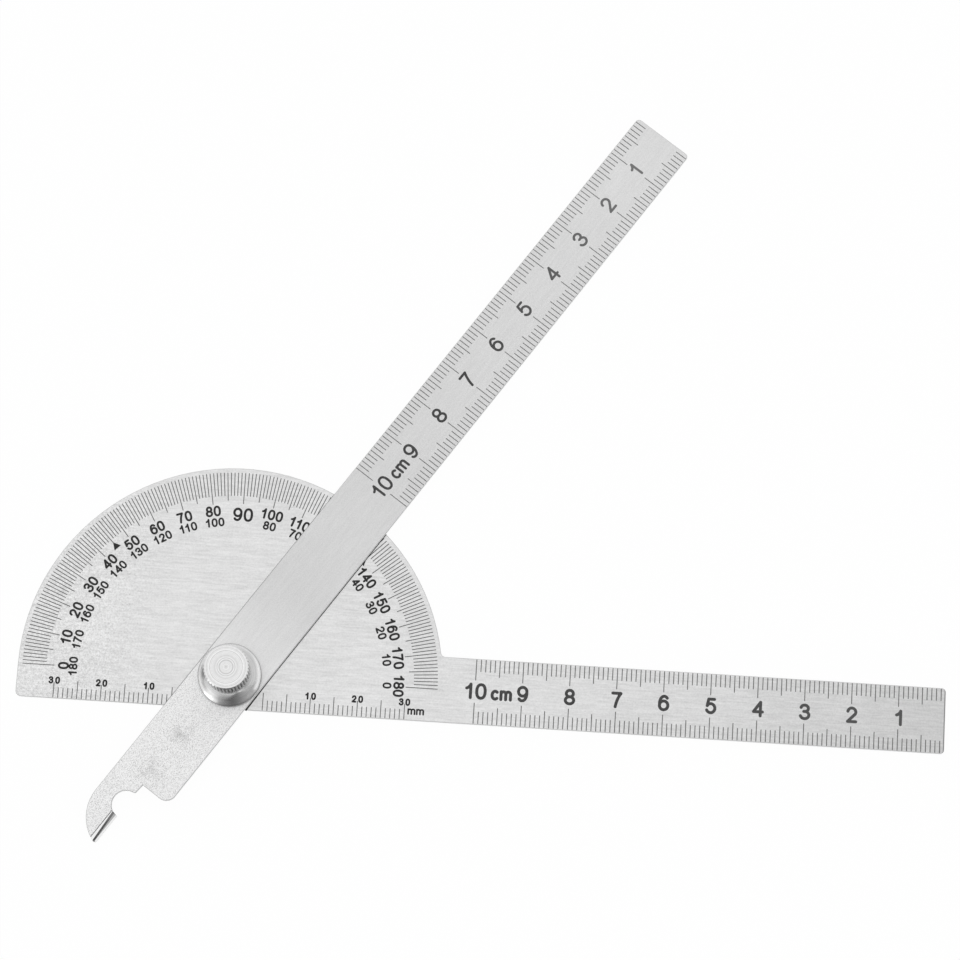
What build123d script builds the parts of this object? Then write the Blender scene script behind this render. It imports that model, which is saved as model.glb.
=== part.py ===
"""Adjustable angle gauge: a half-round head plate with a fixed rule, and a swinging rule on a thumb nut.

The frame has +X along the fixed rule and +Z up, away from the surface that the gauge lies on.
The origin is on the pivot axis, at the foot of the pivot stud.
"""
from build123d import *
from math import cos, radians, sin, sqrt
import os

os.makedirs("parts", exist_ok=True)

# Sheet steel that both blades are stamped from
blade_thickness = 1.0
blade_width = 14.0
edge_break = 0.12

# Head plate and the fixed rule that is in one with it
head_radius = 45.0
head_corner_radius = 1.2
rule_reach = 152.0
rule_corner_radius = 0.9
rule_end_bevel = 0.3
junction_radius = 1.0

# Swinging rule, with a hooked pointer for a tail
arm_reach = 151.7
arm_corner_radius = 0.9
arm_angle = 55.5
tail_reach = 45.0
tail_curve_start = 36.0
tip_radius = 0.5
notch_radius = 3.0
notch_bump_radius = 0.4
notch_distance = 34.7
notch_relief_drop = 0.2
shoulder_distance = 29.3
shoulder_radius = 2.3
pointer_bevel_width = 1.45
pointer_bevel_depth = 0.75

# Pivot stud: a low head at the back, a collar pressed in the plate, a journal and an M4 end
stud_head_diameter = 10.0
stud_head_height = 0.8
stud_head_chamfer = 0.25
stud_collar_diameter = 6.0
stud_press = 0.01
journal_shortfall = 0.1
thread_diameter = 4.0
thread_length = 9.0
thread_chamfer = 0.4
fit_clearance = 0.05

# Plain washer under the nut
washer_diameter = 9.0
washer_thickness = 0.4
washer_chamfer = 0.1

# Thumb nut: a thin round rim, a hollow-curved skirt, a neck and a knurled grip
nut_height = 12.5
nut_rim_diameter = 13.4
nut_rim_thickness = 0.7
nut_rim_chamfer = 0.15
nut_skirt_height = 4.6
nut_neck_diameter = 8.8
nut_neck_height = 0.3
nut_grip_diameter = 9.5
nut_bore_depth = 9.6
nut_drill_angle = 118.0
knurl_count = 40
knurl_depth = 0.25
top_ledge = 0.02

# Axial play between the stacked pieces, which lets the arm swing
stack_play = 0.05

# Levels and widths that follow from the sizes above
half_width = blade_width / 2
plate_back = stud_head_height
plate_top = plate_back + blade_thickness
arm_bottom = plate_top + stack_play
arm_top = arm_bottom + blade_thickness
journal_top = arm_top - journal_shortfall
washer_bottom = arm_top + stack_play
washer_top = washer_bottom + washer_thickness
nut_bottom = washer_top + stack_play
nut_top = nut_bottom + nut_height
stud_top = nut_bottom + thread_length

collar_radius = stud_collar_diameter / 2
thread_radius = thread_diameter / 2
tapped_radius = thread_radius + fit_clearance


# Head plate and fixed rule, stamped as one sheet
junction_x = sqrt(head_radius**2 - half_width**2)
rule_top_corner = (rule_reach, half_width)
rule_bottom_corner = (rule_reach, -half_width)
head_corner = (-head_radius, -half_width)

with BuildPart() as protractor_plate:
    with BuildSketch(Plane.XY.offset(plate_back)):
        with BuildLine():
            base_edge = Line(head_corner, rule_bottom_corner)
            zero_end = Line(base_edge @ 1, rule_top_corner)
            rule_edge = Line(zero_end @ 1, (junction_x, half_width))
            rim = ThreePointArc(rule_edge @ 1, (0, head_radius), (-head_radius, 0))
            Line(rim @ 1, head_corner)
        make_face()
        fillet(vertices().sort_by_distance(head_corner)[0], head_corner_radius)
        fillet(vertices().sort_by_distance(rule_bottom_corner)[0], rule_corner_radius)
        fillet(vertices().sort_by_distance(rule_top_corner)[0], rule_corner_radius)
        fillet(vertices().sort_by_distance((junction_x, half_width))[0], junction_radius)
    extrude(amount=blade_thickness)
    chamfer(edges().group_by(Axis.Z)[-1], edge_break)
    chamfer(edges().group_by(Axis.Z)[0], edge_break)
    with Locations((0, 0, plate_back)):
        Hole(collar_radius)

    # Straight bevel across the top of the zero end, so that the scale starts right at the work.
    # The wedge that cuts it stands past the end and over the top by the bevel's own size.
    with BuildSketch(Plane.XZ):
        with BuildLine():
            Polyline(
                (rule_reach - 2 * rule_end_bevel, plate_top + rule_end_bevel),
                (rule_reach + rule_end_bevel, plate_top - 2 * rule_end_bevel),
                (rule_reach + rule_end_bevel, plate_top + rule_end_bevel),
                close=True,
            )
        make_face()
    extrude(amount=half_width, both=True, mode=Mode.SUBTRACT)


# Swinging rule: its sketch runs along its own length, with the pivot at the sketch's origin
arm_direction = Vector(cos(radians(arm_angle)), sin(radians(arm_angle)), 0)
arm_side = Vector(-sin(radians(arm_angle)), cos(radians(arm_angle)), 0)
arm_plane = Plane(origin=(0, 0, arm_bottom), x_dir=arm_direction, z_dir=(0, 0, 1))

tip = (-tail_reach, 0)
notch_far_side = (-notch_distance - notch_radius, 0)
notch_near_side = (-notch_distance + notch_radius, 0)
notch_top = (-notch_distance, notch_radius)
inner_corner = (-shoulder_distance, -notch_relief_drop)
shoulder_corner = (-shoulder_distance, -half_width)

with BuildPart() as swing_arm:
    with BuildSketch(arm_plane):
        with BuildLine():
            far_edge = Line((arm_reach, -half_width), (arm_reach, half_width))
            left_edge = Line(far_edge @ 1, (-tail_curve_start, half_width))
            TangentArc(left_edge @ 1, tip, tangent=(-1, 0))
            Line(tip, notch_far_side)
            ThreePointArc(notch_far_side, notch_top, notch_near_side)
            Polyline(notch_near_side, inner_corner, shoulder_corner, far_edge @ 0)
        make_face()
        fillet(vertices().sort_by_distance((arm_reach, half_width))[0], arm_corner_radius)
        fillet(vertices().sort_by_distance((arm_reach, -half_width))[0], arm_corner_radius)
        fillet(vertices().sort_by_distance(shoulder_corner)[0], shoulder_radius)
        fillet(vertices().sort_by_distance(notch_near_side)[0], notch_bump_radius)
        fillet(vertices().sort_by_distance(tip)[0], tip_radius)
    extrude(amount=blade_thickness)
    chamfer(edges().group_by(Axis.Z)[-1], edge_break)
    chamfer(edges().group_by(Axis.Z)[0], edge_break)

    # Ground bevel that thins the pointer's reading edge, from the notch to beyond the tip.
    # Its sketch looks along the arm: the first axis points to the arm's left, the second down.
    bevel_start = arm_direction * (notch_far_side[0] + pointer_bevel_width)
    bevel_length = tail_reach - notch_distance
    bevel_plane = Plane(
        origin=(bevel_start.X, bevel_start.Y, arm_top), x_dir=arm_side, z_dir=-arm_direction
    )
    with BuildSketch(bevel_plane):
        with BuildLine():
            Polyline(
                (pointer_bevel_width, 0),
                (0, pointer_bevel_depth),
                (-half_width, pointer_bevel_depth),
                (-half_width, -blade_thickness),
                (pointer_bevel_width, -blade_thickness),
                close=True,
            )
        make_face()
    extrude(amount=bevel_length, mode=Mode.SUBTRACT)
    with Locations((0, 0, arm_bottom)):
        Hole(collar_radius + fit_clearance)


# Pivot stud, fixed in the head plate
stud_head_radius = stud_head_diameter / 2

with BuildPart() as pivot_stud:
    with BuildSketch(Plane.XZ):
        with BuildLine():
            Polyline(
                (0, 0),
                (stud_head_radius - stud_head_chamfer, 0),
                (stud_head_radius, stud_head_chamfer),
                (stud_head_radius, plate_back),
                (collar_radius + stud_press, plate_back),
                (collar_radius + stud_press, plate_top),
                (collar_radius, plate_top),
                (collar_radius, journal_top),
                (thread_radius, journal_top),
                (thread_radius, stud_top - thread_chamfer),
                (thread_radius - thread_chamfer, stud_top),
                (0, stud_top),
                close=True,
            )
        make_face()
    revolve(axis=Axis.Z)


# Plain washer
with BuildPart() as washer:
    with BuildSketch(Plane.XY.offset(washer_bottom)):
        Circle(washer_diameter / 2)
        Circle(thread_radius + fit_clearance, mode=Mode.SUBTRACT)
    extrude(amount=washer_thickness)
    chamfer(edges().group_by(Axis.Z)[-1].sort_by(SortBy.LENGTH)[-1], washer_chamfer)


# Thumb nut, tapped blind from below
rim_radius = nut_rim_diameter / 2
neck_radius = nut_neck_diameter / 2
grip_radius = nut_grip_diameter / 2
# The chamfer is a little wider than the knurl is deep, so that the top face keeps a whole round edge
grip_chamfer = knurl_depth + top_ledge
rim_top = nut_bottom + nut_rim_thickness
neck_bottom = rim_top + nut_skirt_height
neck_top = neck_bottom + nut_neck_height
grip_bottom = neck_top + (grip_radius - neck_radius)
bore_top = nut_bottom + nut_bore_depth
drill_point = tapped_radius / sin(radians(nut_drill_angle / 2)) * cos(radians(nut_drill_angle / 2))

with BuildPart() as thumb_nut:
    with BuildSketch(Plane.XZ):
        with BuildLine():
            rim_profile = Polyline(
                (tapped_radius, nut_bottom),
                (rim_radius, nut_bottom),
                (rim_radius, rim_top - nut_rim_chamfer),
                (rim_radius - nut_rim_chamfer, rim_top),
            )
            skirt = TangentArc((neck_radius, neck_bottom), rim_profile @ 1, tangent=(0, -1))
            Polyline(
                skirt @ 0,
                (neck_radius, neck_top),
                (grip_radius, grip_bottom),
                (grip_radius, nut_top - grip_chamfer),
                (grip_radius - grip_chamfer, nut_top),
                (0, nut_top),
                (0, bore_top + drill_point),
                (tapped_radius, bore_top),
                rim_profile @ 0,
            )
        make_face()
    revolve(axis=Axis.Z)

    # Straight knurl: V grooves round the grip, each half of a square turned on its corner
    with BuildSketch(Plane.XY.offset(neck_top)):
        with PolarLocations(grip_radius, knurl_count):
            RegularPolygon(knurl_depth, 4)
    extrude(amount=nut_top - neck_top, mode=Mode.SUBTRACT)


nodes = {
    "protractor_plate": protractor_plate,
    "swing_arm": swing_arm,
    "pivot_stud": pivot_stud,
    "washer": washer,
    "thumb_nut": thumb_nut,
}
for name, built in nodes.items():
    built.part.label = name
    export_step(built.part, f"parts/{name}.step")
    print(name, "volume", round(built.part.volume, 2), "mm3")
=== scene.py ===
from math import pi, radians

import bpy
import numpy as np
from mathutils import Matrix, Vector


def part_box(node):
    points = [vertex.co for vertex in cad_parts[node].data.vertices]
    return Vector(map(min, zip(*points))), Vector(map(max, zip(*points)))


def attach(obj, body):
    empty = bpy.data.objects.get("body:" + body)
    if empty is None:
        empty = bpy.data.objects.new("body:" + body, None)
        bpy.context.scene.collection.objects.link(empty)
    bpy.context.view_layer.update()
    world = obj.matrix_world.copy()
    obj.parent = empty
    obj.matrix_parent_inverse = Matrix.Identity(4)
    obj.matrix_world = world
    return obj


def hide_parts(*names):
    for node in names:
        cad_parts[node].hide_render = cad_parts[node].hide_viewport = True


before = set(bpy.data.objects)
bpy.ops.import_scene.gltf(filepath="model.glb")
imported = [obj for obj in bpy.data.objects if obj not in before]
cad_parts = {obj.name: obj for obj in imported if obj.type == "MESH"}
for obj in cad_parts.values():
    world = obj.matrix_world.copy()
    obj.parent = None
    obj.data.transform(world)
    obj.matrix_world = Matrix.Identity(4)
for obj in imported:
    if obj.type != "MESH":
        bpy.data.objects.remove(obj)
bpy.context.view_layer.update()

# Adjustable angle gauge, lying on its back on a white table.
# Lengths in the dictionaries are millimetres and angles are degrees. The meshes are metres.
mm = 0.001
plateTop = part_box("protractor_plate")[1][2] / mm
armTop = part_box("swing_arm")[1][2] / mm
armTurn = 55.5       # where the swinging rule stands, counted from the fixed rule
armReach = 151.7     # from the pivot to the swinging rule's zero end
ruleHalf = 7.0       # half the width of either rule


def colour(code):
    # sRGB hex to linear, as the shaders want it
    part = [int(code[i:i + 2], 16) / 255 for i in (1, 3, 5)]
    return [c / 12.92 if c <= 0.04045 else ((c + 0.055) / 1.055) ** 2.4 for c in part] + [1.0]


def addNode(tree, kind, settings=None, values=None, links=None):
    # one node, with its settings, socket values and incoming links. A node given as the source of a link
    # stands for its first output
    node = tree.nodes.new(kind)
    for name, value in (settings or {}).items():
        setattr(node, name, value)
    for name, value in (values or {}).items():
        node.inputs[name].default_value = value
    for name, source in (links or {}).items():
        tree.links.new(source.outputs[0] if isinstance(source, bpy.types.Node) else source, node.inputs[name])
    return node


smooth = {"interpolation_type": "SMOOTHSTEP"}
inColour = {"data_type": "RGBA"}


def span(ends, pair, unit=1.0):
    # socket values for the two ends of a range
    return {ends + " Min": pair[0] * unit, ends + " Max": pair[1] * unit}


def newMaterial(name):
    # a material with no nodes yet, and its tree
    material = bpy.data.materials.new(name)
    material.use_nodes = True
    material.node_tree.nodes.clear()
    return material, material.node_tree


def finishPiece(name, points, faces, material, body, sharp=None):
    # mesh in metres at the origin, riding on its body
    mesh = bpy.data.meshes.new(name)
    mesh.from_pydata(points * mm, [], faces)
    mesh.materials.append(material)
    if sharp is not None:
        mesh.shade_smooth()
        mesh.set_sharp_from_angle(angle=radians(sharp))
    mesh.update()
    piece = bpy.data.objects.new(name, mesh)
    bpy.context.scene.collection.objects.link(piece)
    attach(piece, body)
    return piece


# Camera: solved from the graduations of the head and both rules
camera = {
    "lens": 115.07,
    "sensor": 36.0,
    "place": (45.73, -86.77, 648.15),
    "turn": (11.533, -1.125, 3.474),
    "shift": (-0.00052, 0.00052),     # half a pixel, between pixel numbers and pixel middles
    "clip": (10.0, 20000.0),
}

lens = bpy.data.cameras.new("camera")
lens.lens = camera["lens"]
lens.sensor_width = camera["sensor"]
lens.shift_x, lens.shift_y = camera["shift"]
lens.clip_start, lens.clip_end = [v * mm for v in camera["clip"]]
cameraObject = bpy.data.objects.new("camera", lens)
cameraObject.location = [v * mm for v in camera["place"]]
cameraObject.rotation_euler = [radians(v) for v in camera["turn"]]
bpy.context.scene.collection.objects.link(cameraObject)
bpy.context.scene.camera = cameraObject
bpy.context.scene.view_settings.view_transform = "Standard"
print("camera set")


# Studio: white room, one low soft lamp from the lower left, and flags that only the metal shows
studio = {
    "white": "#ffffff",
    "paper": "#fafafa",
    "roomLevel": 0.86,
    "floorSide": 4000.0,
    "floorDrop": 0.02,       # keeps the paper clear of the stud's foot
    "floorGlow": 0.97,       # share of the paper that is its own glow, where it is seen
    "lampPlace": (-780.0, -680.0, 240.0),
    "lampSide": 420.0,
    "lampWatts": 0.52,
}
flags = {
    "middle": 7.5,      # to the right of straight in front of the pivot, where the flags are darkest
    "spread": 50.0,     # to each side of there, over which they grow pale
    "cards": {
        # name: two opposite corners, the dark tone, and the pale one where the card isn't all one tone
        "frontFlag": ((-260.0, -520.0, 0.1), (1300.0, -520.0, 450.0), "#747474", "#c4c4c4"),
        "benchFlag": ((-60.0, -519.0, 0.1), (1300.0, -9.0, 0.1), "#747474", "#c4c4c4"),
        "leftFlag": ((-800.0, -60.0, 250.0), (-800.0, 330.0, 700.0), "#2a2a2a", None),
        "rightFlag": ((330.0, -400.0, 900.0), (760.0, 250.0, 900.0), "#8a8a8a", None),
    },
}


def seenDirectly(tree):
    # 1 for camera, mirror and glass rays, 0 for the rays that light things
    path = addNode(tree, "ShaderNodeLightPath")
    seen = addNode(tree, "ShaderNodeMath", {"operation": "MAXIMUM"},
                   links={0: path.outputs["Is Camera Ray"], 1: path.outputs["Is Glossy Ray"]})
    return addNode(tree, "ShaderNodeMath", {"operation": "MAXIMUM"},
                   links={0: seen, 1: path.outputs["Is Transmission Ray"]})


# White room: it is plain white to the camera and in the metal, and lights the gauge at the room's level
world = bpy.data.worlds.new("studioRoom")
bpy.context.scene.world = world
world.use_nodes = True
tree = world.node_tree
tree.nodes.clear()
white = colour(studio["white"])
seen = seenDirectly(tree)
room = addNode(tree, "ShaderNodeBackground", values={"Color": white, "Strength": studio["roomLevel"]})
backdrop = addNode(tree, "ShaderNodeBackground", values={"Color": white, "Strength": 1.0})
both = addNode(tree, "ShaderNodeMixShader", links={0: seen, 1: room, 2: backdrop})
addNode(tree, "ShaderNodeOutputWorld", links={"Surface": both})

# White paper: its glow makes it white to the camera and in the metal, and its matt part keeps the shadow
paper, tree = newMaterial("whitePaper")
seen = seenDirectly(tree)
share = addNode(tree, "ShaderNodeMath", {"operation": "MULTIPLY"}, {1: studio["floorGlow"]}, {0: seen})
matt = addNode(tree, "ShaderNodeBsdfDiffuse", values={"Color": colour(studio["paper"])})
glow = addNode(tree, "ShaderNodeEmission", values={"Color": white, "Strength": 1.0})
both = addNode(tree, "ShaderNodeMixShader", links={0: share, 1: matt, 2: glow})
addNode(tree, "ShaderNodeOutputMaterial", links={"Surface": both})


def stageCard(name, corners, material):
    # one flat face of the studio
    mesh = bpy.data.meshes.new(name)
    mesh.from_pydata([[v * mm for v in corner] for corner in corners], [], [(0, 1, 2, 3)])
    mesh.materials.append(material)
    card = bpy.data.objects.new(name, mesh)
    bpy.context.scene.collection.objects.link(card)
    return card


half = studio["floorSide"] / 2
drop = studio["floorDrop"]
stageCard("floor", [(-half, -half, -drop), (half, -half, -drop), (half, half, -drop), (-half, half, -drop)],
          paper)

# Flags of felt, which has no shine: a card in front of the gauge, a bench before it, a dark card to its left
# and a grey one over its right end. They give the sheared edges and the nut's skirt their dark side, and the
# long rule its falling tone
for name, ((x0, y0, z0), (x1, y1, z1), darkTone, paleTone) in flags["cards"].items():
    felt, tree = newMaterial(name + "Felt")
    matt = addNode(tree, "ShaderNodeBsdfDiffuse", values={"Color": colour(darkTone)})
    addNode(tree, "ShaderNodeOutputMaterial", links={"Surface": matt})
    if paleTone:
        place = addNode(tree, "ShaderNodeTexCoord")
        part = addNode(tree, "ShaderNodeSeparateXYZ", links={0: place.outputs["Object"]})
        forward = addNode(tree, "ShaderNodeMath", {"operation": "MULTIPLY"}, {1: -1.0},
                          {0: part.outputs["Y"]})
        bearing = addNode(tree, "ShaderNodeMath", {"operation": "ARCTAN2"},
                          links={0: part.outputs["X"], 1: forward})
        offMiddle = addNode(tree, "ShaderNodeMath", {"operation": "SUBTRACT"},
                            {1: radians(flags["middle"])}, {0: bearing})
        away = addNode(tree, "ShaderNodeMath", {"operation": "ABSOLUTE"}, links={0: offMiddle})
        pale = addNode(tree, "ShaderNodeMapRange", smooth,
                       {"From Max": radians(flags["spread"])}, {"Value": away})
        tone = addNode(tree, "ShaderNodeMix", inColour, {6: colour(darkTone), 7: colour(paleTone)},
                       {0: pale})
        tree.links.new(tone.outputs[2], matt.inputs["Color"])
    if z0 == z1:
        corners = [(x0, y0, z0), (x1, y0, z0), (x1, y1, z0), (x0, y1, z0)]
    else:
        corners = [(x0, y0, z0), (x0, y0, z1), (x1, y1, z1), (x1, y1, z0)]
    card = stageCard(name, corners, felt)
    card.visible_camera = False
    card.visible_diffuse = False
    card.visible_transmission = False
    card.visible_shadow = False

light = bpy.data.lights.new("softbox", "AREA")
light.size = studio["lampSide"] * mm
light.energy = studio["lampWatts"]
lamp = bpy.data.objects.new("softbox", light)
lamp.location = [v * mm for v in studio["lampPlace"]]
lamp.rotation_euler = lamp.location.to_track_quat("Z", "Y").to_euler()
bpy.context.scene.collection.objects.link(lamp)
print("studio set")


# The noises that the materials use. A scale is one over the size of what the noise draws. Where none stands
# here, a finish gives the size, and the streaks are stretched before they are drawn
noises = {
    "streaks": {"Scale": 1.0, "Detail": 2.0, "Roughness": 0.6},
    "clouds": {"Detail": 4.0},
    "pits": {"Detail": 1.5, "Roughness": 0.7},
    "blotches": {"Scale": 1 / (2.2222 * mm), "Detail": 3.0, "Roughness": 0.65},
    "rings": {"Detail": 1.0, "Roughness": 0.5},
    "haze": {"Scale": 1 / (0.6667 * mm), "Detail": 2.0},
    "spots": {"Scale": 1 / (2.0 * mm), "Detail": 1.0},
    "wear": {"Scale": 1 / (0.4545 * mm), "Detail": 2.0},
}
# How far a face's normal rises tells the parts of an edge apart
rises = {
    "edge": 0.95,     # under this the face is part of an edge
    "wall": 0.3,      # under this it is the edge's upright wall
    "side": 0.5,      # under this a face of a turned part looks sideways
}

# Edges of both blades, left as sheared: the upright walls are given a bright tone, and the rolled breaks
# above and below them a duller, partly matt grey, so that the blade gets a thin grey outline
edgeFinish = {
    "edgeBreak": "#d3d3d3",
    "edgeWall": "#f6f6f6",
    "edgeRoughness": 0.85,
    "edgeMetal": 0.45,       # share of an edge's look that is metal, and the rest is matt
    "endFrom": 151.55,       # the ground edge of the zero end starts here, and has its own tone
}
# Head and fixed rule: stainless steel sheet, cold rolled and brushed along the rule. That gives a pale grey
# with fine lines along the blade, a broad soft shine, and pitting that grows towards the head's left end
plateFinish = {
    **edgeFinish,
    "name": "brushedStainlessSteel",
    "light": "#f6f6f6",
    "dark": "#c6c6c6",
    "turn": 0.0,
    "streakLength": 4.0,
    "streakWidth": 0.40,     # real brush lines are 0.05 mm wide, too fine to show, so they are drawn coarser
    "streakShare": 0.90,
    "cloudSize": 18.0,
    "cloudShare": 0.22,
    "pitSize": 0.33,
    "pitSpan": (-12.0, -34.0),    # the pitting grows from the first place along the blade to the second
    "pitShares": (0.70, 2.20),
    "liftSpan": (0.0, 1.0),
    "lift": 0.0,
    "rise": 0.0,             # tone gained in a millimetre along the blade
    "smudges": (),
    "roughness": (0.26, 0.38),
    "endTone": "#9c9c9c",
    "relief": 0.004,
}
# Swinging rule: the same sheet, blasted to satin. That gives faint lines, a paler and grainy stretch from the
# pivot to the pointer, and two thumb marks on it
armFinish = {
    **edgeFinish,
    "name": "satinStainlessSteel",
    "light": "#f8f8f8",
    "dark": "#a4a4a4",
    "turn": armTurn,
    "streakLength": 6.0,
    "streakWidth": 0.45,
    "streakShare": 0.20,
    "cloudSize": 24.0,
    "cloudShare": 0.12,
    "pitSize": 0.20,         # blasting leaves pits of 0.05 mm, too fine to show, so they are drawn coarser
    "pitSpan": (2.0, -10.0),
    "pitShares": (0.45, 2.65),
    "liftSpan": (24.0, -6.0),     # the blade is paler round the pivot, from the first place to the second
    "lift": 0.32,
    "rise": 0.0008,
    "smudges": ((-15.7, 0.2, 4.4, 0.36), (-26.3, 0.4, 5.0, 0.40)),    # along, across, radius, share
    "roughness": (0.32, 0.44),
    "endTone": "#d0d0d0",
    "relief": 0.004,
}
# Flats of the pointer: the same steel, ground across the blade almost to a mirror. Each flat's tone is a
# painted reflection of the room, even across the flat: two are painted bright, one painted shade and one
# painted grey
groundFinish = dict(armFinish, name="groundSteelPaintedBright", turn=armTurn + 90, streakLength=2.0,
                    streakWidth=0.30, streakShare=0.6, pitShares=(0.1, 0.1), lift=0.25, smudges=(),
                    roughness=(0.14, 0.22), light="#fafafa", dark="#dcdcdc", edgeBreak="#f0f0f0",
                    edgeWall="#c0c0c0", edgeRoughness=0.18, edgeMetal=1.0)
# the painted shade copy's sloping flat is painted dark, and the painted grey copy's flat mid grey
paintedShadeFinish = dict(groundFinish, name="groundSteelPaintedShade", edgeBreak="#7a7a7a")
paintedGreyFinish = dict(groundFinish, name="groundSteelPaintedGrey", edgeBreak="#b0b0b0")
# On every blade the thumb marks are broken up by blotches, and the brush lines and pits stand in relief
skin = {
    "blotchSpan": (0.40, 0.62),
    "reliefStrength": 0.5,
}


def sheetSteel(finish):
    # tone is a half, plus brush lines along the blade, plus pits that grow towards one end, plus slow clouds
    material, tree = newMaterial(finish["name"])
    place = addNode(tree, "ShaderNodeTexCoord")
    blade = addNode(tree, "ShaderNodeMapping", values={"Rotation": (0, 0, radians(-finish["turn"]))},
                    links={"Vector": place.outputs["Object"]})
    lengthwise = 1 / (finish["streakLength"] * mm)
    across = 1 / (finish["streakWidth"] * mm)
    stretch = addNode(tree, "ShaderNodeMapping", values={"Scale": (lengthwise, across, across)},
                      links={"Vector": blade})
    streaks = addNode(tree, "ShaderNodeTexNoise", values=noises["streaks"], links={"Vector": stretch})
    clouds = addNode(tree, "ShaderNodeTexNoise",
                     values=dict(noises["clouds"], Scale=1 / (finish["cloudSize"] * mm)),
                     links={"Vector": blade})
    pits = addNode(tree, "ShaderNodeTexNoise",
                   values=dict(noises["pits"], Scale=1 / (finish["pitSize"] * mm)), links={"Vector": blade})
    along = addNode(tree, "ShaderNodeSeparateXYZ", links={0: blade})
    worn = addNode(tree, "ShaderNodeMapRange", smooth,
                   {**span("From", finish["pitSpan"][::-1], mm), **span("To", (1.0, 0.0))},
                   {"Value": along.outputs["X"]})
    pitShare = addNode(tree, "ShaderNodeMapRange",
                       values=span("To", finish["pitShares"]), links={"Value": worn})

    level = addNode(tree, "ShaderNodeMath", {"operation": "MULTIPLY_ADD"},
                    {1: finish["streakShare"], 2: 0.5 - finish["streakShare"] / 2}, {0: streaks})
    centred = addNode(tree, "ShaderNodeMath", {"operation": "SUBTRACT"}, {1: 0.5}, {0: pits})
    fine = addNode(tree, "ShaderNodeMath", {"operation": "MULTIPLY_ADD"},
                   links={0: centred, 1: pitShare, 2: level})
    slow = addNode(tree, "ShaderNodeMath", {"operation": "MULTIPLY_ADD"},
                   {1: finish["cloudShare"], 2: -finish["cloudShare"] / 2}, {0: clouds})
    sloped = addNode(tree, "ShaderNodeMath", {"operation": "MULTIPLY_ADD"}, {1: finish["rise"] / mm},
                     {0: along.outputs["X"], 2: slow})
    near = addNode(tree, "ShaderNodeMapRange", smooth,
                   {**span("From", finish["liftSpan"][::-1], mm), **span("To", (finish["lift"], 0.0))},
                   {"Value": along.outputs["X"]})
    lifted = addNode(tree, "ShaderNodeMath", {"operation": "ADD"}, links={0: near, 1: sloped})
    if finish["smudges"]:
        blotches = addNode(tree, "ShaderNodeTexNoise", values=noises["blotches"], links={"Vector": blade})
        patchy = addNode(tree, "ShaderNodeMapRange",
                         values=span("From", skin["blotchSpan"]), links={"Value": blotches})
    for u, v, size, share in finish["smudges"]:
        # a thumb mark is darkest in its middle and gone at its radius
        offset = addNode(tree, "ShaderNodeVectorMath", {"operation": "SUBTRACT"},
                         {1: (u * mm, v * mm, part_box("swing_arm")[1][2])}, {0: blade})
        distance = addNode(tree, "ShaderNodeVectorMath", {"operation": "LENGTH"}, links={0: offset})
        soft = addNode(tree, "ShaderNodeMapRange", smooth,
                       {"From Max": size * mm, "To Min": share, "To Max": 0.0},
                       {"Value": distance.outputs["Value"]})
        broken = addNode(tree, "ShaderNodeMath", {"operation": "MULTIPLY"},
                         links={0: soft, 1: patchy})
        lifted = addNode(tree, "ShaderNodeMath", {"operation": "SUBTRACT"},
                         links={0: lifted, 1: broken})
    tone = addNode(tree, "ShaderNodeMath", {"operation": "ADD", "use_clamp": True},
                   links={0: fine, 1: lifted})
    paint = addNode(tree, "ShaderNodeMix", inColour,
                    {6: colour(finish["dark"]), 7: colour(finish["light"])}, {0: tone})
    rough = addNode(tree, "ShaderNodeMapRange", values=span("To", finish["roughness"]), links={"Value": fine})

    # the sheared walls, which look sideways, are bright, and their rolled breaks, which slope, are dull
    shape = addNode(tree, "ShaderNodeNewGeometry")
    facing = addNode(tree, "ShaderNodeSeparateXYZ", links={0: shape.outputs["True Normal"]})
    upright = addNode(tree, "ShaderNodeMath", {"operation": "ABSOLUTE"}, links={0: facing.outputs["Z"]})
    sheared = addNode(tree, "ShaderNodeMath", {"operation": "LESS_THAN"}, {1: rises["edge"]},
                      {0: upright})
    wall = addNode(tree, "ShaderNodeMath", {"operation": "LESS_THAN"}, {1: rises["wall"]}, {0: upright})
    sides = addNode(tree, "ShaderNodeMix", inColour,
                    {6: colour(finish["edgeBreak"]), 7: colour(finish["edgeWall"])}, {0: wall})
    atEnd = addNode(tree, "ShaderNodeMath", {"operation": "GREATER_THAN"}, {1: finish["endFrom"] * mm},
                    {0: along.outputs["X"]})
    edge = addNode(tree, "ShaderNodeMix", inColour, {7: colour(finish["endTone"])},
                   {0: atEnd, 6: sides.outputs[2]})
    tint = addNode(tree, "ShaderNodeMix", inColour,
                   links={0: sheared, 6: paint.outputs[2], 7: edge.outputs[2]})
    tintRough = addNode(tree, "ShaderNodeMix", values={3: finish["edgeRoughness"]},
                        links={0: sheared, 2: rough})
    relief = addNode(tree, "ShaderNodeBump",
                     values={"Strength": skin["reliefStrength"], "Distance": finish["relief"] * mm},
                     links={"Height": fine})
    shader = addNode(tree, "ShaderNodeBsdfPrincipled", values={"Metallic": 1.0},
                     links={"Base Color": tint.outputs[2], "Roughness": tintRough,
                            "Normal": relief})
    if finish["edgeMetal"] < 1:
        metal = addNode(tree, "ShaderNodeMix", values={2: 1.0, 3: finish["edgeMetal"]},
                        links={0: sheared})
        tree.links.new(metal.outputs[0], shader.inputs["Metallic"])
    addNode(tree, "ShaderNodeOutputMaterial", links={"Surface": shader})
    return material
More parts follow.
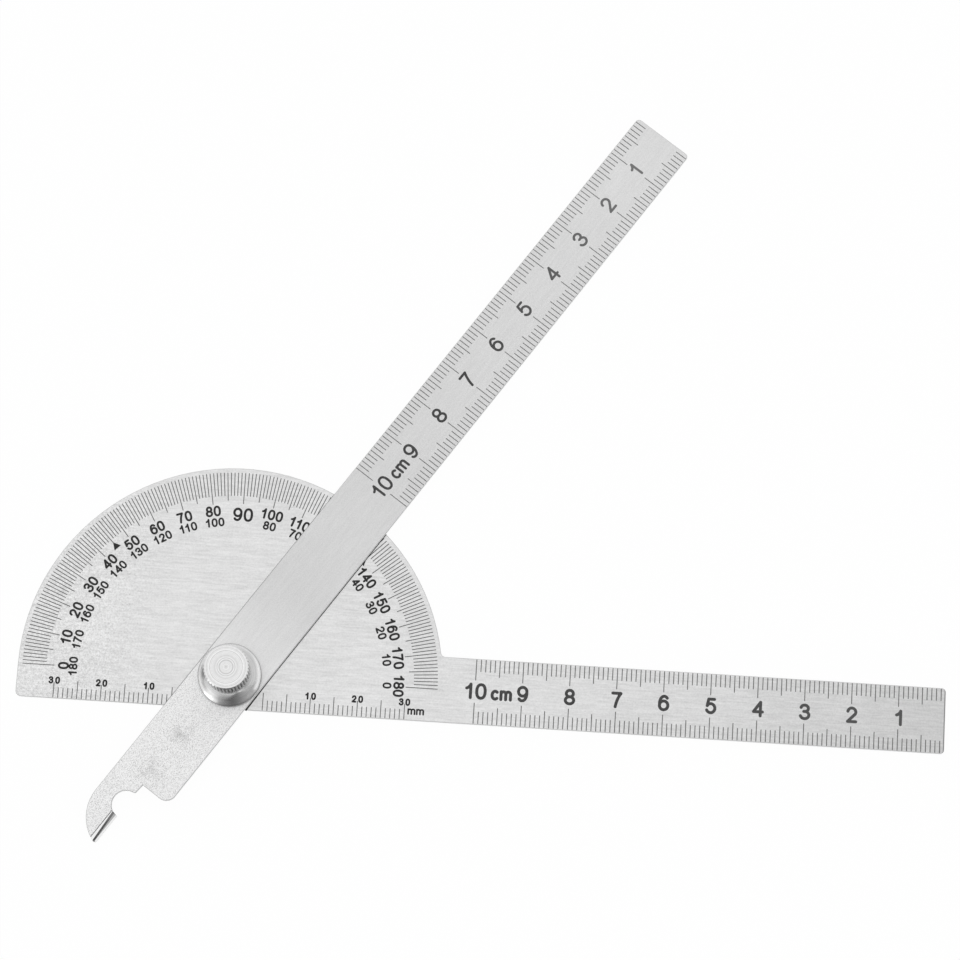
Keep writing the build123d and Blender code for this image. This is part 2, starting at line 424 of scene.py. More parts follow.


# Thumb nut: brass, turned and nickel plated. The plating is pale and bright, the top keeps uneven rings and
# three deeper tool marks, black grime with painted shade stays in the knurl, and a painted shadow lies on the
# rim's edge
nutFinish = {
    "name": "nickelPlatedTurnedBrass",
    "light": "#f6f6f6",
    "dark": "#cecece",
    "ringPitch": 0.22,       # the tool's feed is 0.1 mm, too fine to show, so the rings are drawn coarser
    "toolMarks": ((0.0, 0.24, 3.0), (1.42, 0.18, 1.8), (2.45, 0.12, 0.8)),    # radius, spread, share
    "roughness": (0.16, 0.26),
    "relief": 0.006,
    "shadeAndGrime": {
        "tone": "#2b2b2b",
        "radii": (4.56, 4.81),    # thick at the first radius of the knurl and gone at the second
        "from": 8.9,              # height at which the knurl starts
        # from this radius out the rim's edge gets a painted shadow
        "rimShadowFrom": 6.62,          # radius at which the rim's edge starts
        "rimShadowShare": 0.75,
    },
}
# Pivot stud: stainless steel, turned. That gives a darker grey than the blades, with soft rings
studFinish = {
    "name": "turnedStainlessSteel",
    "light": "#dcdcdc",
    "dark": "#b4b4b4",
    "ringPitch": 0.6,
    "toolMarks": (),
    "roughness": (0.22, 0.36),
    "relief": 0.004,
    "shadeAndGrime": None,
}
# Washer: stainless steel, stamped and tumbled. That gives an even grey with slow changes of tone
washerFinish = {
    "name": "tumbledStainlessSteel",
    "light": "#dedede",
    "dark": "#bcbcbc",
    "ringPitch": 0.9,
    "toolMarks": (),
    "roughness": (0.24, 0.38),
    "relief": 0.003,
    "shadeAndGrime": None,
}
# What the turned parts share
turning = {
    "ringSpan": (0.3, 0.7),
    "hazeShare": 0.15,
    "reliefStrength": 0.4,
}


def turnedMetal(finish):
    # one slow noise runs out along the radius and along the axis, so that it makes uneven rings;
    # the grime with painted shade lies where the radius is small on the faces that look sideways, above its
    # lowest height, and painted shadow darkens every face beyond the rim's radius
    material, tree = newMaterial(finish["name"])
    place = addNode(tree, "ShaderNodeTexCoord")
    flat = addNode(tree, "ShaderNodeVectorMath", {"operation": "MULTIPLY"}, {1: (1, 1, 0)},
                   {0: place.outputs["Object"]})
    radius = addNode(tree, "ShaderNodeVectorMath", {"operation": "LENGTH"}, links={0: flat})
    height = addNode(tree, "ShaderNodeSeparateXYZ", links={0: place.outputs["Object"]})
    turned = addNode(tree, "ShaderNodeCombineXYZ", links={0: radius.outputs["Value"], 1: height.outputs["Z"]})
    rings = addNode(tree, "ShaderNodeTexNoise",
                    values=dict(noises["rings"], Scale=1 / (finish["ringPitch"] * mm)),
                    links={"Vector": turned})
    haze = addNode(tree, "ShaderNodeTexNoise", values=noises["haze"],
                   links={"Vector": place.outputs["Object"]})
    tone = addNode(tree, "ShaderNodeMix", values={0: turning["hazeShare"]},
                   links={2: rings, 3: haze})
    spread = addNode(tree, "ShaderNodeMapRange", values=span("From", turning["ringSpan"]),
                     links={"Value": tone})
    spots = addNode(tree, "ShaderNodeTexNoise", values=noises["spots"],
                    links={"Vector": place.outputs["Object"]})
    for middle, width, share in finish["toolMarks"]:
        # a tool mark is darkest at its radius and fades to both sides, and the spots break it up
        offset = addNode(tree, "ShaderNodeMath", {"operation": "SUBTRACT"}, {1: middle * mm},
                         {0: radius.outputs["Value"]})
        away = addNode(tree, "ShaderNodeMath", {"operation": "ABSOLUTE"}, links={0: offset})
        scar = addNode(tree, "ShaderNodeMapRange", smooth,
                       {"From Max": width * mm, "To Min": share, "To Max": 0.0}, {"Value": away})
        broken = addNode(tree, "ShaderNodeMath", {"operation": "MULTIPLY"},
                         links={0: scar, 1: spots})
        spread = addNode(tree, "ShaderNodeMath", {"operation": "SUBTRACT"},
                         links={0: spread, 1: broken})
    tint = addNode(tree, "ShaderNodeMix", inColour,
                   {6: colour(finish["dark"]), 7: colour(finish["light"])}, {0: spread})

    shadeAndGrime = finish["shadeAndGrime"]
    if shadeAndGrime:
        # grime with painted shade in the knurl's grooves
        deep = addNode(tree, "ShaderNodeMapRange",
                       values={**span("From", shadeAndGrime["radii"], mm), **span("To", (1.0, 0.0))},
                       links={"Value": radius.outputs["Value"]})
        shape = addNode(tree, "ShaderNodeNewGeometry")
        facing = addNode(tree, "ShaderNodeSeparateXYZ", links={0: shape.outputs["True Normal"]})
        upright = addNode(tree, "ShaderNodeMath", {"operation": "ABSOLUTE"}, links={0: facing.outputs["Z"]})
        sideways = addNode(tree, "ShaderNodeMath", {"operation": "LESS_THAN"}, {1: rises["side"]},
                           {0: upright})
        above = addNode(tree, "ShaderNodeMath", {"operation": "GREATER_THAN"}, {1: shadeAndGrime["from"] * mm},
                        {0: height.outputs["Z"]})
        where = addNode(tree, "ShaderNodeMath", {"operation": "MULTIPLY"},
                        links={0: sideways, 1: above})
        knurlShadeAndGrime = addNode(tree, "ShaderNodeMath", {"operation": "MULTIPLY"},
                          links={0: where, 1: deep})
        # painted shadow on every face beyond the rim's radius
        rim = addNode(tree, "ShaderNodeMath", {"operation": "GREATER_THAN"}, {1: shadeAndGrime["rimShadowFrom"] * mm},
                      {0: radius.outputs["Value"]})
        rimShadow = addNode(tree, "ShaderNodeMath", {"operation": "MULTIPLY"}, {1: shadeAndGrime["rimShadowShare"]},
                        {0: rim})
        shadedAndSoiled = addNode(tree, "ShaderNodeMath", {"operation": "MAXIMUM"},
                         links={0: knurlShadeAndGrime, 1: rimShadow})
        tint = addNode(tree, "ShaderNodeMix", inColour, {7: colour(shadeAndGrime["tone"])},
                       {0: shadedAndSoiled, 6: tint.outputs[2]})

    rough = addNode(tree, "ShaderNodeMapRange", values=span("To", finish["roughness"]), links={"Value": haze})
    relief = addNode(tree, "ShaderNodeBump",
                     values={"Strength": turning["reliefStrength"], "Distance": finish["relief"] * mm},
                     links={"Height": rings})
    shader = addNode(tree, "ShaderNodeBsdfPrincipled", values={"Metallic": 1.0},
                     links={"Base Color": tint.outputs[2], "Roughness": rough,
                            "Normal": relief})
    addNode(tree, "ShaderNodeOutputMaterial", links={"Surface": shader})
    return material


# Etched marks: black oxide left in the steel. It is matt, so the marks stay dark in any light, and worn thin
# in places, so their black is uneven. The painted contact shadow under the swinging rule is as matt and as
# dark
oxide = {
    "roughness": 0.6,
    "wearSpan": (0.35, 0.75),
    "fadeSpan": (80.0, 150.0),    # distances from the pivot between which a mark reaches its faded tone
    "tones": {
        # name: where it is thick, where it is thin, and faded where the rules are handled most
        "blackEtchedOxide": ("#080808", "#1c1c1c", None),
        "fadedEtchedOxide": ("#303030", "#484848", "#505050"),
        "wornEtchedOxide": ("#303030", "#484848", "#747474"),
        # painted contact shadow under the swinging rule: dark, uneven and never faded
        "paintedContactShadow": ("#141414", "#303030", None),
        "greyEtchedOxide": ("#505050", "#707070", None),
    },
}


def etchedOxide(name):
    # the tone runs from thick to thin by a fine noise, and towards the faded one far from the pivot
    thick, thin, faded = oxide["tones"][name]
    material, tree = newMaterial(name)
    place = addNode(tree, "ShaderNodeTexCoord")
    wear = addNode(tree, "ShaderNodeTexNoise", values=noises["wear"],
                   links={"Vector": place.outputs["Object"]})
    worn = addNode(tree, "ShaderNodeMapRange", values=span("From", oxide["wearSpan"]), links={"Value": wear})
    paint = addNode(tree, "ShaderNodeMix", inColour, {6: colour(thick), 7: colour(thin)},
                    {0: worn})
    if faded:
        distance = addNode(tree, "ShaderNodeVectorMath", {"operation": "LENGTH"},
                           links={0: place.outputs["Object"]})
        far = addNode(tree, "ShaderNodeMapRange", smooth, span("From", oxide["fadeSpan"], mm),
                      {"Value": distance.outputs["Value"]})
        paint = addNode(tree, "ShaderNodeMix", inColour, {7: colour(faded)},
                        {0: far, 6: paint.outputs[2]})
    shader = addNode(tree, "ShaderNodeBsdfPrincipled", values={"Roughness": oxide["roughness"]},
                     links={"Base Color": paint.outputs[2]})
    addNode(tree, "ShaderNodeOutputMaterial", links={"Surface": shader})
    return material


plateSteel = sheetSteel(plateFinish)
armSteel = sheetSteel(armFinish)
paintedBrightGroundSteel = sheetSteel(groundFinish)
paintedShadeSteel = sheetSteel(paintedShadeFinish)
paintedGreySteel = sheetSteel(paintedGreyFinish)
nutNickel = turnedMetal(nutFinish)
studSteel = turnedMetal(studFinish)
washerSteel = turnedMetal(washerFinish)
blackOxide = etchedOxide("blackEtchedOxide")
ruleOxide = etchedOxide("fadedEtchedOxide")
armOxide = etchedOxide("wornEtchedOxide")
paintedShadowBlack = etchedOxide("paintedContactShadow")
greyOxide = etchedOxide("greyEtchedOxide")

for node, material in {"protractor_plate": plateSteel, "swing_arm": armSteel, "pivot_stud": studSteel,
                       "washer": washerSteel, "thumb_nut": nutNickel}.items():
    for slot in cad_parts[node].material_slots:
        slot.material = material
print("materials set")


# Marks stand a hair above the steel, and reach a little into it
mark = {
    "proud": 0.008,
    "sunk": 0.02,
    "strokeStep": 0.001,     # each further stroke of a figure is this much higher, so that none share a level
    "endAngles": (88, 60, 30),    # where a stroke's round ends have their points
    "arcStep": 15,                # between an arc's points
    "curvePoints": 9,
}


def carriedFaces(rings, corners, closed=False):
    # quads between each ring of corners and the next. A closed run joins its last ring to its first, and an
    # open one has a flat face at each end
    here = np.arange(rings if closed else rings - 1)[:, None] * corners
    there = (here + corners) % (rings * corners)
    k = np.arange(corners)[None, :]
    following = (k + 1) % corners
    quads = np.stack([here + k, here + following, there + following, there + k], 2).reshape(-1, 4).tolist()
    if closed:
        return quads
    last = (rings - 1) * corners
    return quads + [list(range(corners - 1, -1, -1)), list(range(last, last + corners))]


def tickBlocks(start, end, width, level):
    # each tick is a box along the line from start to end: half the width to each side of that line,
    # from just below the steel's level to just above it
    ahead = end - start
    ahead = ahead / np.linalg.norm(ahead, axis=1, keepdims=True)
    side = np.stack([-ahead[:, 1], ahead[:, 0]], 1) * width / 2
    corners = np.stack([start - side, end - side, end + side, start + side], 1)
    low = np.full((len(start), 4, 1), level - mark["sunk"])
    high = np.full((len(start), 4, 1), level + mark["proud"])
    points = np.concatenate([np.concatenate([corners, low], 2), np.concatenate([corners, high], 2)], 1)
    box = np.array([(3, 2, 1, 0), (4, 5, 6, 7), (0, 1, 5, 4), (1, 2, 6, 5), (2, 3, 7, 6), (3, 0, 4, 7)])
    faces = (np.arange(len(start))[:, None, None] * 8 + box).reshape(-1, 4)
    return points.reshape(-1, 3), faces


def carryStroke(line, halfWidth, level, closed):
    # a flat four-cornered profile is carried along the line: at each point of it the profile stands
    # across the line's direction. An open line gets round ends: beyond each end, at the sine of an angle
    # times half the width, the profile's half width is the cosine of that angle times half the width
    line = np.asarray(line, float)
    half = np.full(len(line), halfWidth)
    ahead = np.roll(line, -1, 0) - np.roll(line, 1, 0) if closed else np.gradient(line, axis=0)
    ahead = ahead / np.linalg.norm(ahead, axis=1, keepdims=True)
    if not closed:
        angle = np.radians(mark["endAngles"])
        out = (np.sin(angle) * halfWidth)[:, None]
        line = np.concatenate([line[0] - out * ahead[0], line, line[-1] + out[::-1] * ahead[-1]])
        half = np.concatenate([np.cos(angle) * halfWidth, half, np.cos(angle[::-1]) * halfWidth])
        ahead = np.concatenate([np.repeat(ahead[:1], len(angle), 0), ahead,
                                np.repeat(ahead[-1:], len(angle), 0)])
    side = np.stack([-ahead[:, 1], ahead[:, 0]], 1) * half[:, None]
    high = np.full((len(line), 1), level + mark["proud"])
    low = np.full((len(line), 1), level - mark["sunk"])
    ring = np.stack([np.hstack([line + side, high]), np.hstack([line - side, high]),
                     np.hstack([line - side, low]), np.hstack([line + side, low])], 1)
    return ring.reshape(-1, 3), carriedFaces(len(line), 4, closed)


def merge(parts):
    # several (points, faces) lists as one, each one's faces moved on by the points before it
    counts = np.cumsum([0] + [len(points) for points, faces in parts[:-1]])
    return (np.concatenate([points for points, faces in parts]),
            np.concatenate([np.array(faces) + count for (points, faces), count in zip(parts, counts)]))


# Figures are single strokes with round ends, one unit high between the middles of the strokes
def arc(cx, cy, rx, ry, start, end, bend=2.0):
    # ellipse from one angle to another; a bend over 2 squares its shoulders as a superellipse does
    angle = np.radians(np.linspace(start, end, max(3, int(abs(end - start) / mark["arcStep"]) + 1)))
    c, s = np.cos(angle), np.sin(angle)
    return np.stack([cx + rx * np.sign(c) * np.abs(c) ** (2 / bend),
                     cy + ry * np.sign(s) * np.abs(s) ** (2 / bend)], 1)


def curve(start, pull, end):
    # quadratic curve from start to end, bent towards pull
    t = np.linspace(0, 1, mark["curvePoints"])[:, None]
    return (1 - t) ** 2 * np.array(start) + 2 * t * (1 - t) * np.array(pull) + t ** 2 * np.array(end)


six = [(np.concatenate([arc(0.32, 0.77, 0.24, 0.23, 25, 75), arc(0.32, 0.46, 0.32, 0.54, 90, 188)]), False),
       (arc(0.30, 0.325, 0.30, 0.325, 0, 345), True)]
figures = {
    # each stroke is a line, and whether it closes on itself
    "0": [(arc(0.30, 0.5, 0.30, 0.5, 0, 345, 2.35), True)],
    "1": [(curve((0.14, 0.70), (0.36, 0.78), (0.43, 1.0)), False), ([(0.43, 1.0), (0.43, 0.0)], False)],
    "2": [(np.concatenate([arc(0.30, 0.71, 0.285, 0.29, 172, -30), [(0.01, 0.0)]]), False),
          ([(0.01, 0.0), (0.60, 0.0)], False)],
    "3": [(np.concatenate([arc(0.285, 0.76, 0.265, 0.24, 168, -80), [(0.23, 0.53)]]), False),
          (np.concatenate([[(0.23, 0.53)], arc(0.295, 0.27, 0.305, 0.27, 80, -165)]), False)],
    "4": [([(0.49, 1.0), (0.49, 0.0)], False), ([(0.49, 1.0), (0.0, 0.29)], False),
          ([(0.0, 0.29), (0.64, 0.29)], False)],
    "5": [([(0.14, 1.0), (0.55, 1.0)], False), ([(0.14, 1.0), (0.05, 0.50)], False),
          (arc(0.295, 0.335, 0.305, 0.335, 145, -155), False)],
    "6": six,
    "7": [([(0.0, 1.0), (0.58, 1.0)], False), (curve((0.58, 1.0), (0.32, 0.62), (0.21, 0.0)), False)],
    "8": [(arc(0.30, 0.755, 0.25, 0.245, 0, 345), True), (arc(0.30, 0.262, 0.30, 0.262, 0, 345), True)],
    "9": [([(0.60, 1.0)] - line, closed) for line, closed in six],
    "c": [(arc(0.215, 0.29, 0.215, 0.29, 50, 310), False)],
    "m": [([(0.0, 0.0), (0.0, 0.58)], False),
          (np.concatenate([arc(0.17, 0.40, 0.17, 0.18, 180, 0), [(0.34, 0.0)]]), False),
          (np.concatenate([arc(0.51, 0.40, 0.17, 0.18, 180, 0), [(0.68, 0.0)]]), False)],
}
figureWidths = {"digit": 0.60, "c": 0.37, "m": 0.68}
onesKern = 0.13


def layText(text, style, middle, right, up, level):
    # the characters stand side by side, centred on middle; right and up are unit directions on the steel.
    # Two ones in a row stand closer. The style's shifts move texts of one, two and three characters
    unit = style["height"] - style["stroke"]
    wide = unit * style["stretch"]
    widths = [figureWidths.get(c, figureWidths["digit"]) * wide + style["stroke"] for c in text]
    kern = text.count("11") * onesKern * wide
    left = style["shifts"][len(text) - 1] - (sum(widths) + style["gap"] * (len(text) - 1) - kern) / 2
    parts = []
    for i, (c, width) in enumerate(zip(text, widths)):
        if text[i - 1:i + 1] == "11":
            left -= onesKern * wide
        for order, (line, closed) in enumerate(figures[c]):
            flat = np.asarray(line, float) * (wide, unit) + (left + style["stroke"] / 2, style["stroke"] / 2)
            placed = np.array(middle) + flat[:, :1] * np.array(right) + flat[:, 1:] * np.array(up)
            parts.append(carryStroke(placed, style["stroke"] / 2, level + order * mark["strokeStep"], closed))
        left += width + style["gap"]
    return parts


def tickSizes(steps, sizes):
    # one size for every tenth step, one for every other fifth, and one for the rest
    return np.where(steps % 10 == 0, sizes[10], np.where(steps % 5 == 0, sizes[5], sizes[1]))


# Head: a half circle of degrees, counted both ways
headScale = {
    "tickOut": 44.05,
    "tickIn": {1: 38.98, 5: 37.93, 10: 37.26},
    "tickWidth": 0.18,
    "outerFoot": 34.61,
    "innerFoot": 32.35,
    "middleFoot": 33.43,
    "endFoot": 34.18,
    "outer": {"height": 2.35, "stroke": 0.465, "gap": 0.13, "stretch": 0.98, "shifts": (0.04, -0.11, -0.01)},
    "inner": {"height": 1.93, "stroke": 0.40, "gap": 0.12, "stretch": 1.01, "shifts": (-0.11, 0.14, -0.05)},
    "middle": {"height": 2.97, "stroke": 0.52, "gap": 0.25, "stretch": 1.02, "shifts": (0.0, 0.10, 0.0)},
    "arrowFoot": 36.79,
    "arrowTip": 38.4,
    "arrowWidth": 1.75,
}
# the last outer figure is closer set and stands clear of the base scale
headScale["last"] = dict(headScale["outer"], gap=0.06, shifts=(0.0, 0.0, -0.25))


def spoke(degrees):
    # outward direction at that angle from the fixed rule
    return np.stack([np.cos(np.radians(degrees)), np.sin(np.radians(degrees))], -1)


degrees = np.arange(181)
inside = tickSizes(degrees, headScale["tickIn"])[:, None]
points, faces = tickBlocks(inside * spoke(degrees), headScale["tickOut"] * spoke(degrees),
                           headScale["tickWidth"], plateTop)
finishPiece("headTicks", points, faces, greyOxide, "head")

parts = []
for angle in range(0, 181, 10):
    out = spoke(angle)
    right = (out[1], -out[0])
    if angle == 90:
        parts += layText("90", headScale["middle"], out * headScale["middleFoot"], right, out, plateTop)
        continue
    foot = headScale["endFoot"] if angle == 180 else headScale["outerFoot"]
    style = headScale["last"] if angle == 0 else headScale["outer"]
    parts += layText(str(180 - angle), style, out * foot, right, out, plateTop)
    parts += layText(str(angle), headScale["inner"], out * headScale["innerFoot"], right, out, plateTop)
points, faces = merge(parts)
finishPiece("headFigures", points, faces, blackOxide, "head")


def arrowhead(foot, tip, width, angle):
    # a line from foot to tip whose width falls evenly to nothing, as a three-cornered block that stands
    # one step higher than the tick that it touches
    out = spoke(angle)
    side = np.array([-out[1], out[0]]) * width / 2
    flat = np.array([out * foot - side, out * tip, out * foot + side])
    low = np.full((3, 1), plateTop - mark["sunk"])
    high = np.full((3, 1), plateTop + mark["proud"] + mark["strokeStep"])
    points = np.concatenate([np.hstack([flat, low]), np.hstack([flat, high])])
    return points, [(2, 1, 0), (3, 4, 5), (0, 1, 4, 3), (1, 2, 5, 4), (2, 0, 3, 5)]


for name, angle in {"arrowRight": 45, "arrowLeft": 135}.items():
    points, faces = arrowhead(headScale["arrowFoot"], headScale["arrowTip"], headScale["arrowWidth"], angle)
    finishPiece(name, points, faces, blackOxide, "head")
print("head scale made")


# Rules: a hundred millimetres on each edge, numbered in centimetres from the zero end
ruleScale = {
    "edge": 6.85,
    "lengths": {1: 2.6, 5: 3.6, 10: 4.45},
    "tickWidth": 0.19,
    "figure": {"height": 3.55, "stroke": 0.66, "gap": 0.14, "stretch": 1.03, "shifts": (0.12, -0.02)},
    "figureFoot": -1.675,
    "unitMiddle": 57.65,
    "slope": 0.0,
    "length": 100,
}


def ruleTicks(reach):
    # a tick on each edge at every millimetre, counted back from the zero end
    steps = np.arange(1, ruleScale["length"] + 1)
    length = tickSizes(steps, ruleScale["lengths"])
    x = reach - steps
    edge = np.full(len(x), ruleScale["edge"])
    start = np.concatenate([np.stack([x, edge], 1), np.stack([x, -edge], 1)])
    end = np.concatenate([np.stack([x, edge - length], 1), np.stack([x, length - edge], 1)])
    return start, end


def ruleFigures(scale, reach, level, right, up):
    # the row's foot climbs by the slope for every millimetre along the rule, from the middle of the row
    texts = {str(number): reach - 10 * number for number in range(1, ruleScale["length"] // 10 + 1)}
    texts["cm"] = scale["unitMiddle"]
    parts = []
    for text, x in texts.items():
        foot = ruleScale["figureFoot"] + scale["slope"] * (x - reach + ruleScale["length"] / 2)
        parts += layText(text, scale["figure"], x * right + foot * up, right, up, level)
    return parts


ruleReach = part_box("protractor_plate")[1][0] / mm
eastward, northward = np.array([1.0, 0.0]), np.array([0.0, 1.0])
start, end = ruleTicks(ruleReach)
points, faces = tickBlocks(start, end, ruleScale["tickWidth"], plateTop)
finishPiece("ruleTicks", points, faces, greyOxide, "head")
points, faces = merge(ruleFigures(ruleScale, ruleReach, plateTop, eastward, northward))
finishPiece("ruleFigures", points, faces, ruleOxide, "head")
print("fixed rule's scale made")

# Base of the head: millimetres to both sides of the pivot
baseScale = {
    "first": 7.0,
    "length": 30,
    "foot": -6.85,
    "tops": {1: -4.7, 5: -3.1, 10: -3.55},    # a tenth one reaches up between the two digits of its figure
    "tickWidth": 0.18,
    "figure": {"height": 1.58, "stroke": 0.385, "gap": 0.33, "stretch": 0.95, "shifts": (0.0, 0.0)},
    "figureFoot": -3.96,
    "rightShift": {"ticks": 0.31, "figures": 0.25},    # the etching stands this much off on the right side
    "unit": {"height": 2.08, "stroke": 0.37, "gap": 0.11, "stretch": 1.17, "shifts": (0.0, 0.0)},
    "unitMiddle": (39.75, -5.80),
}
steps = np.arange(baseScale["length"] + 1)
x = baseScale["first"] + steps
top = tickSizes(steps, baseScale["tops"])
top[0] = baseScale["tops"][5]    # the first one has no figure
foot = np.full(len(x), baseScale["foot"])
rightX = x + baseScale["rightShift"]["ticks"]
start = np.concatenate([np.stack([rightX, foot], 1), np.stack([-x, foot], 1)])
end = np.concatenate([np.stack([rightX, top], 1), np.stack([-x, top], 1)])
points, faces = tickBlocks(start, end, baseScale["tickWidth"], plateTop)
finishPiece("baseTicks", points, faces, greyOxide, "head")

parts = layText("mm", baseScale["unit"], baseScale["unitMiddle"], eastward, northward, plateTop)
for side, shift in {1: baseScale["rightShift"]["figures"], -1: 0}.items():
    for number in range(10, baseScale["length"] + 1, 10):
        middle = (side * (baseScale["first"] + number) + shift, baseScale["figureFoot"])
        parts += layText(str(number), baseScale["figure"], middle, eastward, northward, plateTop)
points, faces = merge(parts)
finishPiece("baseFigures", points, faces, blackOxide, "head")
print("base scale made")

# Swinging rule, drawn along its own length and turned to where it stands
armScale = {
    "tickWidth": 0.17,
    "unitMiddle": 57.28,
    "slope": 0.0033,
    "figure": dict(ruleScale["figure"], stroke=0.55),
}
armAlong = spoke(armTurn)
armAcross = np.array([-armAlong[1], armAlong[0]])
start, end = [flat[:, :1] * armAlong + flat[:, 1:] * armAcross for flat in ruleTicks(armReach)]
points, faces = tickBlocks(start, end, armScale["tickWidth"], armTop)
finishPiece("armTicks", points, faces, greyOxide, "arm")
points, faces = merge(ruleFigures(armScale, armReach, armTop, armAlong, armAcross))
finishPiece("armFigures", points, faces, armOxide, "arm")
print("swinging rule's scale made")


# Pointer: the ground bevel of its reading edge has four flats, which slant a little from tip to notch
pointer = {
    "width": 1.45,
    "depth": 0.75,
    "topSlope": 8.0,
    "ridgeHigh": (0.78, 1.30),    # distance from the reading edge, at the tip and at the notch
    "ridgeMiddle": (0.40, 0.80),
    "ridgeLow": (0.38, 0.36),
    "skin": 0.015,                # how far the flats stand out of the solid's own bevel
    "inset": 0.015,
    "sunk": 0.08,
    "stations": 24,
    "hookMiddle": (-36.0, -2.286),
    "hookRadius": 9.286,
    "tipMiddle": (-44.36, 0.5),
    "tipRadius": 0.5,
    "tipTop": 0.66,
    "notchMiddle": (-34.7, 0.0),
    "notchRadius": 3.0,
    "lineWidth": 0.20,
    # the line where the grinding stopped is a painted shadow
    "lineBeyond": 0.05,           # how far outside the bevel the grind line's middle runs
    "lineInset": 0.1,
}


def circleSide(middle, radius, v, side):
    # the place along the arm where a circle passes the distance v from the arm's axis, on one side of it
    return middle[0] + side * np.sqrt(np.maximum(radius ** 2 - (v - middle[1]) ** 2, 0))


def pointerBevel():
    # a closed profile across the bevel is carried from the tip to the notch. Its corners are the top line,
    # the three ridges, the reading edge, and two corners sunk in the steel. A corner's place along the arm is
    # the share of the way between the outline's two sides at that corner's distance from the axis
    share = np.linspace(0, 1, pointer["stations"])[:, None]
    ridges = [atTip + (atNotch - atTip) * share for atTip, atNotch in
              (pointer["ridgeHigh"], pointer["ridgeMiddle"], pointer["ridgeLow"])]
    full = np.full_like(share, pointer["width"])
    edge = np.full_like(share, pointer["inset"])
    v = np.hstack([full, *ridges, edge, edge, full])
    chord = -pointer["depth"] * (pointer["width"] - v) / pointer["width"]
    drop = chord + pointer["skin"]
    drop[:, 1] = -(pointer["width"] - v[:, 1]) * np.tan(np.radians(pointer["topSlope"]))
    drop[:, 5:] = chord[:, 5:] - pointer["sunk"]
    start = np.where(v < pointer["tipTop"],
                     circleSide(pointer["tipMiddle"], pointer["tipRadius"], v, -1),
                     circleSide(pointer["hookMiddle"], pointer["hookRadius"], v, -1)) + pointer["inset"]
    end = circleSide(pointer["notchMiddle"], pointer["notchRadius"], v, -1) - pointer["inset"]
    u = start + (end - start) * share
    flat = u[..., None] * armAlong + v[..., None] * armAcross
    points = np.concatenate([flat, (armTop + drop)[..., None]], 2).reshape(-1, 3)
    return points, carriedFaces(pointer["stations"], v.shape[1]), v.shape[1]


points, faces, corners = pointerBevel()
bevel = finishPiece("pointerBevel", points, faces, paintedBrightGroundSteel, "arm")
bevel.data.materials.append(paintedShadeSteel)
bevel.data.materials.append(paintedGreySteel)
# from the top line down the flats are painted bright, painted shade, painted grey and painted bright
flats = np.arange(len(faces)) % corners    # from the top line down: bright, shaded, grey, bright
bevel.data.polygons.foreach_set("material_index", np.where(flats == 1, 1, np.where(flats == 2, 2, 0)))

# a thin dark line, painted as the shadow of the burr where the grinding stopped
v = pointer["width"] + pointer["lineBeyond"]
lineEnds = [circleSide(pointer["hookMiddle"], pointer["hookRadius"], v, -1) + pointer["lineInset"],
            circleSide(pointer["notchMiddle"], pointer["notchRadius"], v, -1) - pointer["lineInset"]]
start, end = [(u * armAlong + v * armAcross)[None] for u in lineEnds]
points, faces = tickBlocks(start, end, pointer["lineWidth"], armTop)
finishPiece("paintedBurrShadowLine", points, faces, greyOxide, "arm")
print("pointer made")

# Painted contact shadow along the foot of the swinging rule, where it wipes over the head: two thin dark
# strips
contactShadowStrips = {
    # place along the rule, and how far the strip stands out
    "right": ((-3.68, 0.36), (5.0, 0.15), (44.45, 0.15)),
    "left": ((-13.31, 0.18), (44.45, 0.18)),
    "under": 0.15,
    "level": (1.812, 1.842),
}
parts = []
for name, side in {"right": -1, "left": 1}.items():
    # a flat four-cornered profile is carried along the rule's side, and its outer corners follow the
    # strip's width. The corners run the other way round on the right side, so that both face outwards
    u, stands = np.array(contactShadowStrips[name]).T
    foot = np.full(len(u), side * (ruleHalf - contactShadowStrips["under"]))
    rim = side * (ruleHalf + stands)
    low, high = contactShadowStrips["level"]
    v = np.stack([foot, rim, rim, foot], 1)
    z = np.tile([low, low, high, high][::side], (len(u), 1))
    flat = u[:, None, None] * armAlong + v[..., None] * armAcross
    points = np.concatenate([flat, z[..., None]], 2).reshape(-1, 3)
    parts.append((points, carriedFaces(len(u), 4)))
points, faces = merge(parts)
finishPiece("paintedContactShadowLines", points, faces, paintedShadowBlack, "arm")
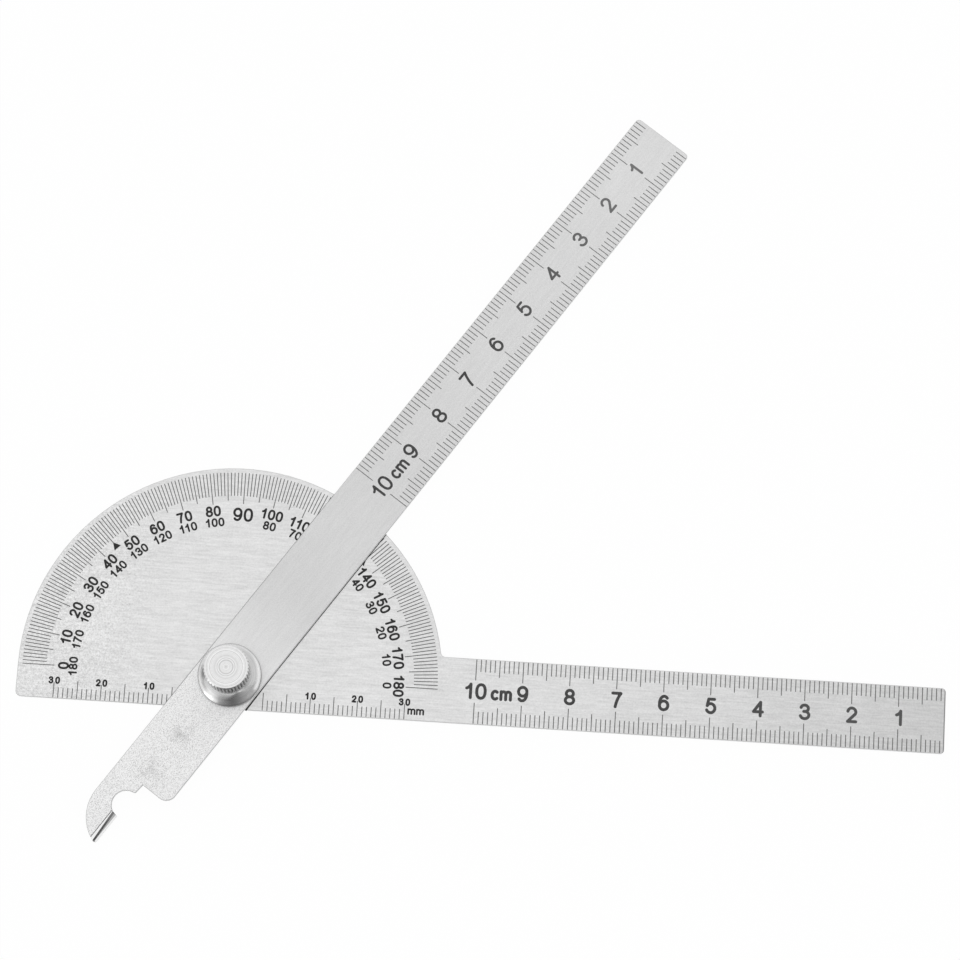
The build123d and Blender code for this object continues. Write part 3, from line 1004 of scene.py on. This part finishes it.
print("painted contact shadow lines made")


# Pivot stud with a real thread, in place of the plain cylinder
stud = {
    "headRadius": 5.0,
    "headHeight": 0.8,
    "headChamfer": 0.25,
    "journalRadius": 3.0,
    "journalTop": 2.75,
    "threadRadius": 1.99,
    "threadPitch": 0.7,
    "threadDepth": 0.38,
    "threadChamfer": 0.4,
    "top": 12.35,
    "sides": 72,
    "ringsPerTurn": 12,
    "sharpFrom": 28,
}


def threadedStud():
    # rings of one profile: head, journal, thread and end chamfer. In the thread the radius falls by the depth
    # times a triangle wave of height over pitch less the angle's share of a turn, faded out over one pitch at
    # both ends of the thread
    angle = np.arange(stud["sides"]) / stud["sides"] * 2 * pi
    plain = [(stud["headRadius"] - stud["headChamfer"], 0.0), (stud["headRadius"], stud["headChamfer"]),
             (stud["headRadius"], stud["headHeight"]), (stud["journalRadius"], stud["headHeight"]),
             (stud["journalRadius"], stud["journalTop"])]
    threadEnd = stud["top"] - stud["threadChamfer"]
    count = int((threadEnd - stud["journalTop"]) / stud["threadPitch"] * stud["ringsPerTurn"])
    z = np.linspace(stud["journalTop"], threadEnd, count)
    turn = z[:, None] / stud["threadPitch"] - angle[None, :] / (2 * pi)
    wave = 1 - np.abs(2 * (turn - np.floor(turn)) - 1)
    fade = np.clip(np.minimum(z - z[0], z[-1] - z) / stud["threadPitch"], 0, 1)[:, None]
    threadRadii = stud["threadRadius"] - stud["threadDepth"] * wave * fade
    radii = np.vstack([np.repeat([[r] for r, h in plain], stud["sides"], 1), threadRadii,
                       np.full((1, stud["sides"]), stud["threadRadius"] - stud["threadChamfer"])])
    heights = np.concatenate([[h for r, h in plain], z, [stud["top"]]])
    points = np.stack([radii * np.cos(angle), radii * np.sin(angle),
                       np.repeat(heights[:, None], stud["sides"], 1)], 2).reshape(-1, 3)
    return points, carriedFaces(len(heights), stud["sides"])


points, faces = threadedStud()
threaded = finishPiece("threadedStud", points, faces, studSteel, "head", sharp=stud["sharpFrom"])
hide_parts("pivot_stud")
print("stud made")
